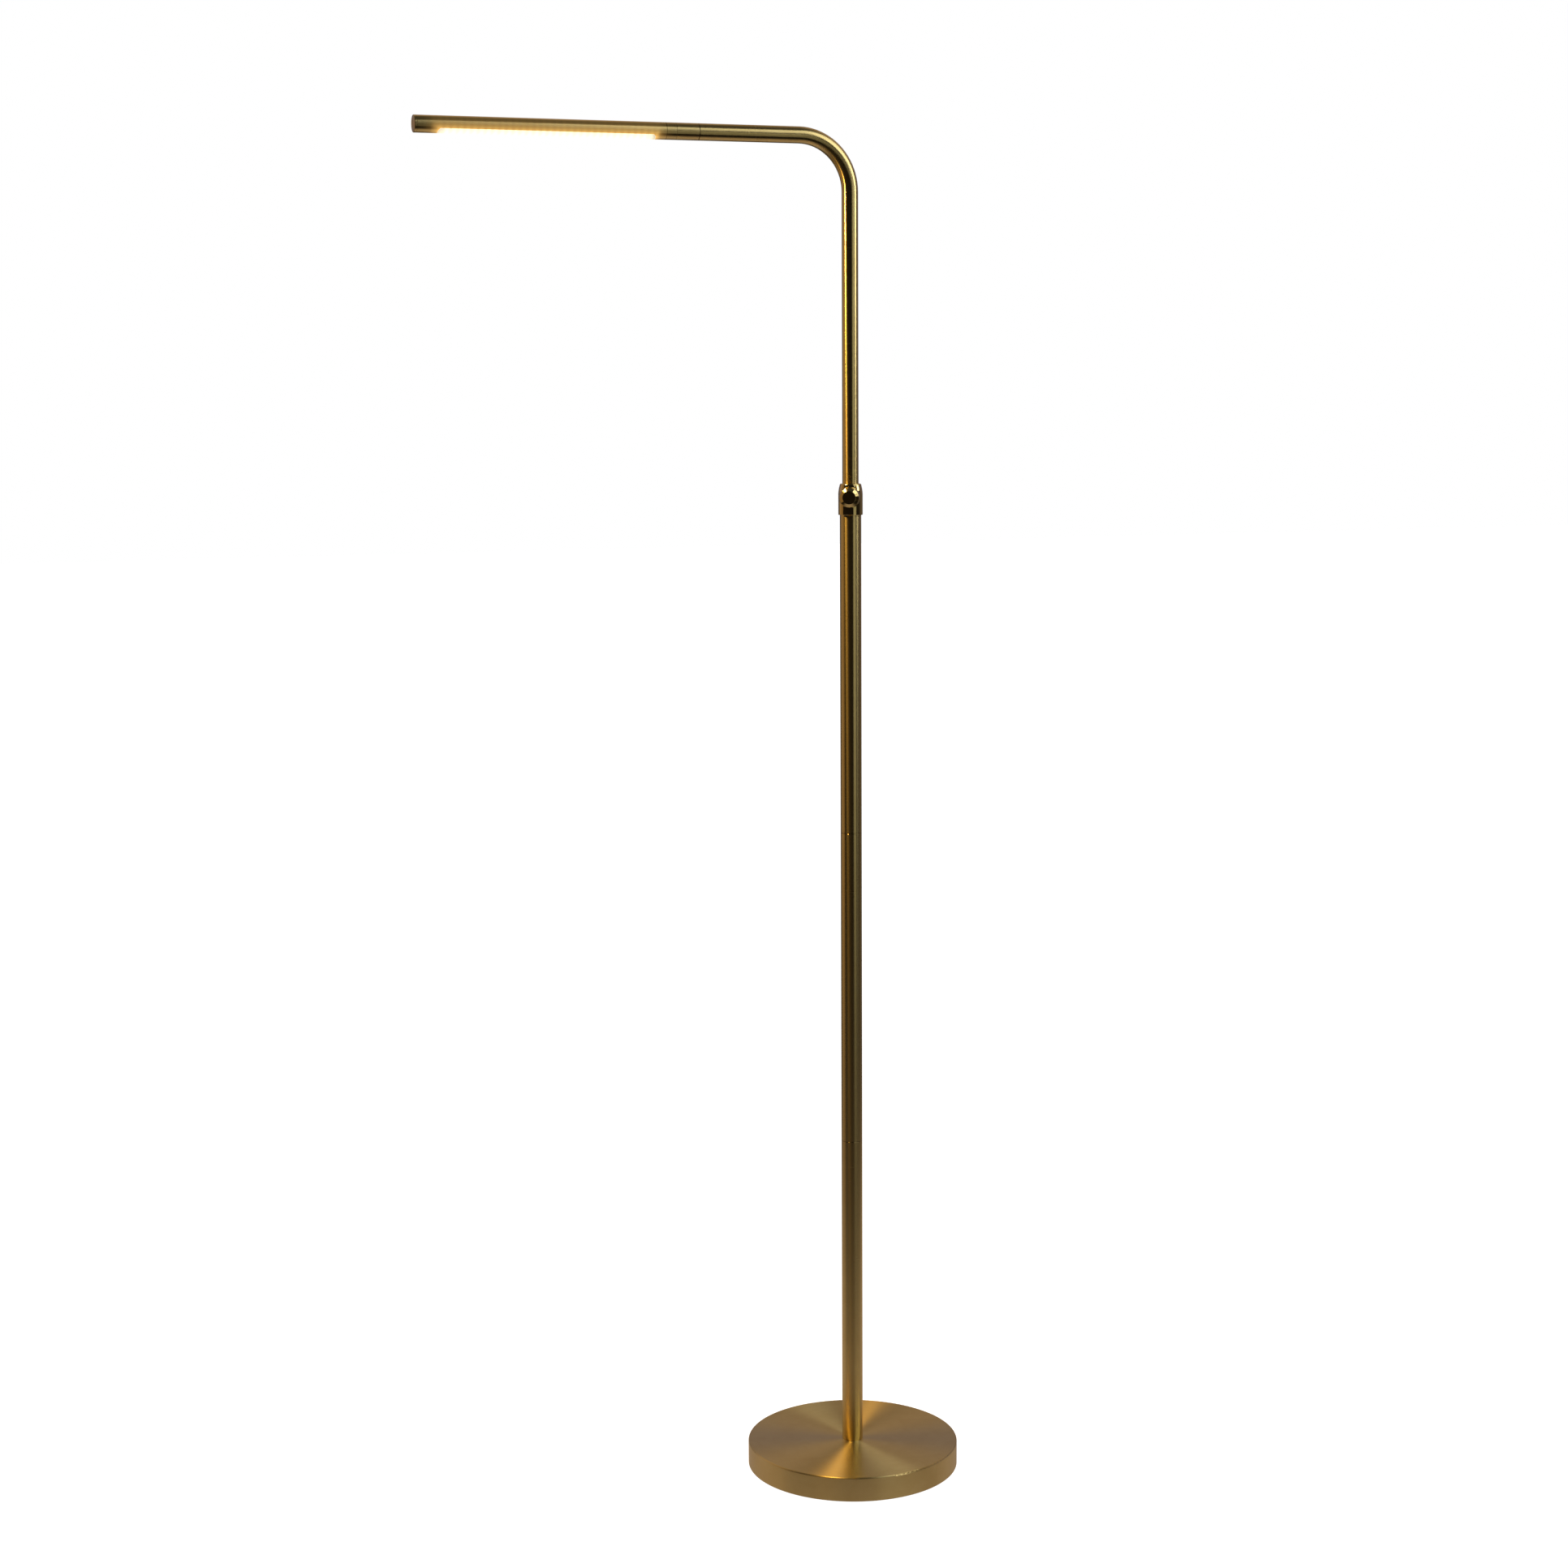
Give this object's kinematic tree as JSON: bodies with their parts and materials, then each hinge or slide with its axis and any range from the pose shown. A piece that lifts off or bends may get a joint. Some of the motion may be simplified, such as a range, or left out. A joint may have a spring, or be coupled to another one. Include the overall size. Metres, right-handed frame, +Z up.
{
  "type": "floor lamp",
  "caption": "Slim floor lamp: weighted round base, telescoping pole with clamp knob, and a bent arm that slides and swivels, ending in a rotating tube light.",
  "frame": {"origin": "middle of the base's resting face, on the pole's axis", "axes": "+Z up along the pole; the arm and the light head run along -X; the cord inlet is at +Y"},
  "size_m": [0.6326, 0.2556, 1.5915],
  "materials": {
    "brass_satin": "steel tube plated in antique brass, brushed along its length to a satin sheen",
    "brass_spun": "steel sheet plated in antique brass, with a fine circular brushed finish",
    "brass_polished": "solid brass, turned and polished, antique tone",
    "opal_plastic": "opal white diffuser, frosted, lit from inside",
    "iron": "rough cast iron, dark primer",
    "zinc_steel": "zinc-plated steel hardware",
    "felt_pad": "dark closed-cell foam pad",
    "black_rubber": "matt black rubber",
    "white_plastic": "white acetal or nylon, moulded",
    "lead_jacket": "black two-core lead jacket",
    "sink_aluminium": "extruded aluminium, mill finish",
    "board_white": "white solder-masked light board",
    "chip_yellow": "yellow phosphor light chip, lit"
  },
  "bodies": {
    "stand": {"base_cover": "brass_spun", "base_weight": "iron", "base_pad": "felt_pad", "base_nipple": "zinc_steel", "base_washer": "zinc_steel", "base_nut": "zinc_steel", "cord_grommet": "black_rubber", "terminal_block": "white_plastic", "pole_foot_plug": "zinc_steel", "pole_lower": "brass_satin", "pole_middle": "brass_satin", "pole_upper": "brass_satin", "coupler_lower": "zinc_steel", "coupler_upper": "zinc_steel", "clamp_collar": "brass_polished", "guide_bush": "white_plastic", "pole_lead": "lead_jacket", "coiled_lead": "lead_jacket"},
    "shoe": {"clamp_shoe": "white_plastic"},
    "knob": {"clamp_screw": "zinc_steel", "clamp_knob": "brass_polished"},
    "carriage": {"slide_bush": "white_plastic"},
    "arm": {"retaining_rings": "zinc_steel", "arm_tube": "brass_satin", "lead_bush": "white_plastic", "swivel_plug": "zinc_steel", "swivel_stop_pin": "zinc_steel", "swivel_washer": "white_plastic", "spring_washer": "zinc_steel", "swivel_nut": "zinc_steel", "arm_lead": "lead_jacket"},
    "head": {"swivel_ring": "brass_satin", "head_tube": "brass_satin", "diffuser": "opal_plastic", "heat_sink": "sink_aluminium", "led_board": "board_white", "led_chips": "chip_yellow", "board_screws": "zinc_steel", "board_connector": "white_plastic", "end_cap": "brass_satin", "head_lead": "lead_jacket"}
  },
  "joints": [
    {"name": "height_slide", "type": "slide", "parent": "stand", "child": "carriage", "axis": [0, 0, 1], "range_m": [-0.3, 0], "deforming": ["coiled_lead"]},
    {"name": "arm_swivel", "type": "hinge", "parent": "carriage", "child": "arm", "pos_m": [0, 0, 1.2], "axis": [0, 0, 1], "range_deg": [-175, 175]},
    {"name": "head_swivel", "type": "hinge", "parent": "arm", "child": "head", "pos_m": [-0.19, 0, 1.582], "axis": [1, 0, 0], "range_deg": [-90, 90]},
    {"name": "shoe_slide", "type": "slide", "parent": "stand", "child": "shoe", "axis": [-0.4226, -0.9063, 0], "range_m": [0, 0.0015]},
    {"name": "knob_turn", "type": "hinge", "parent": "shoe", "child": "knob", "pos_m": [0, 0, 1.1726], "axis": [-0.4226, -0.9063, 0], "range_deg": [0, 540]}
  ],
  "couplings": [
    {"joint": "knob_turn", "follows": "shoe_slide", "rad_per_m": 6283.2}
  ]
}
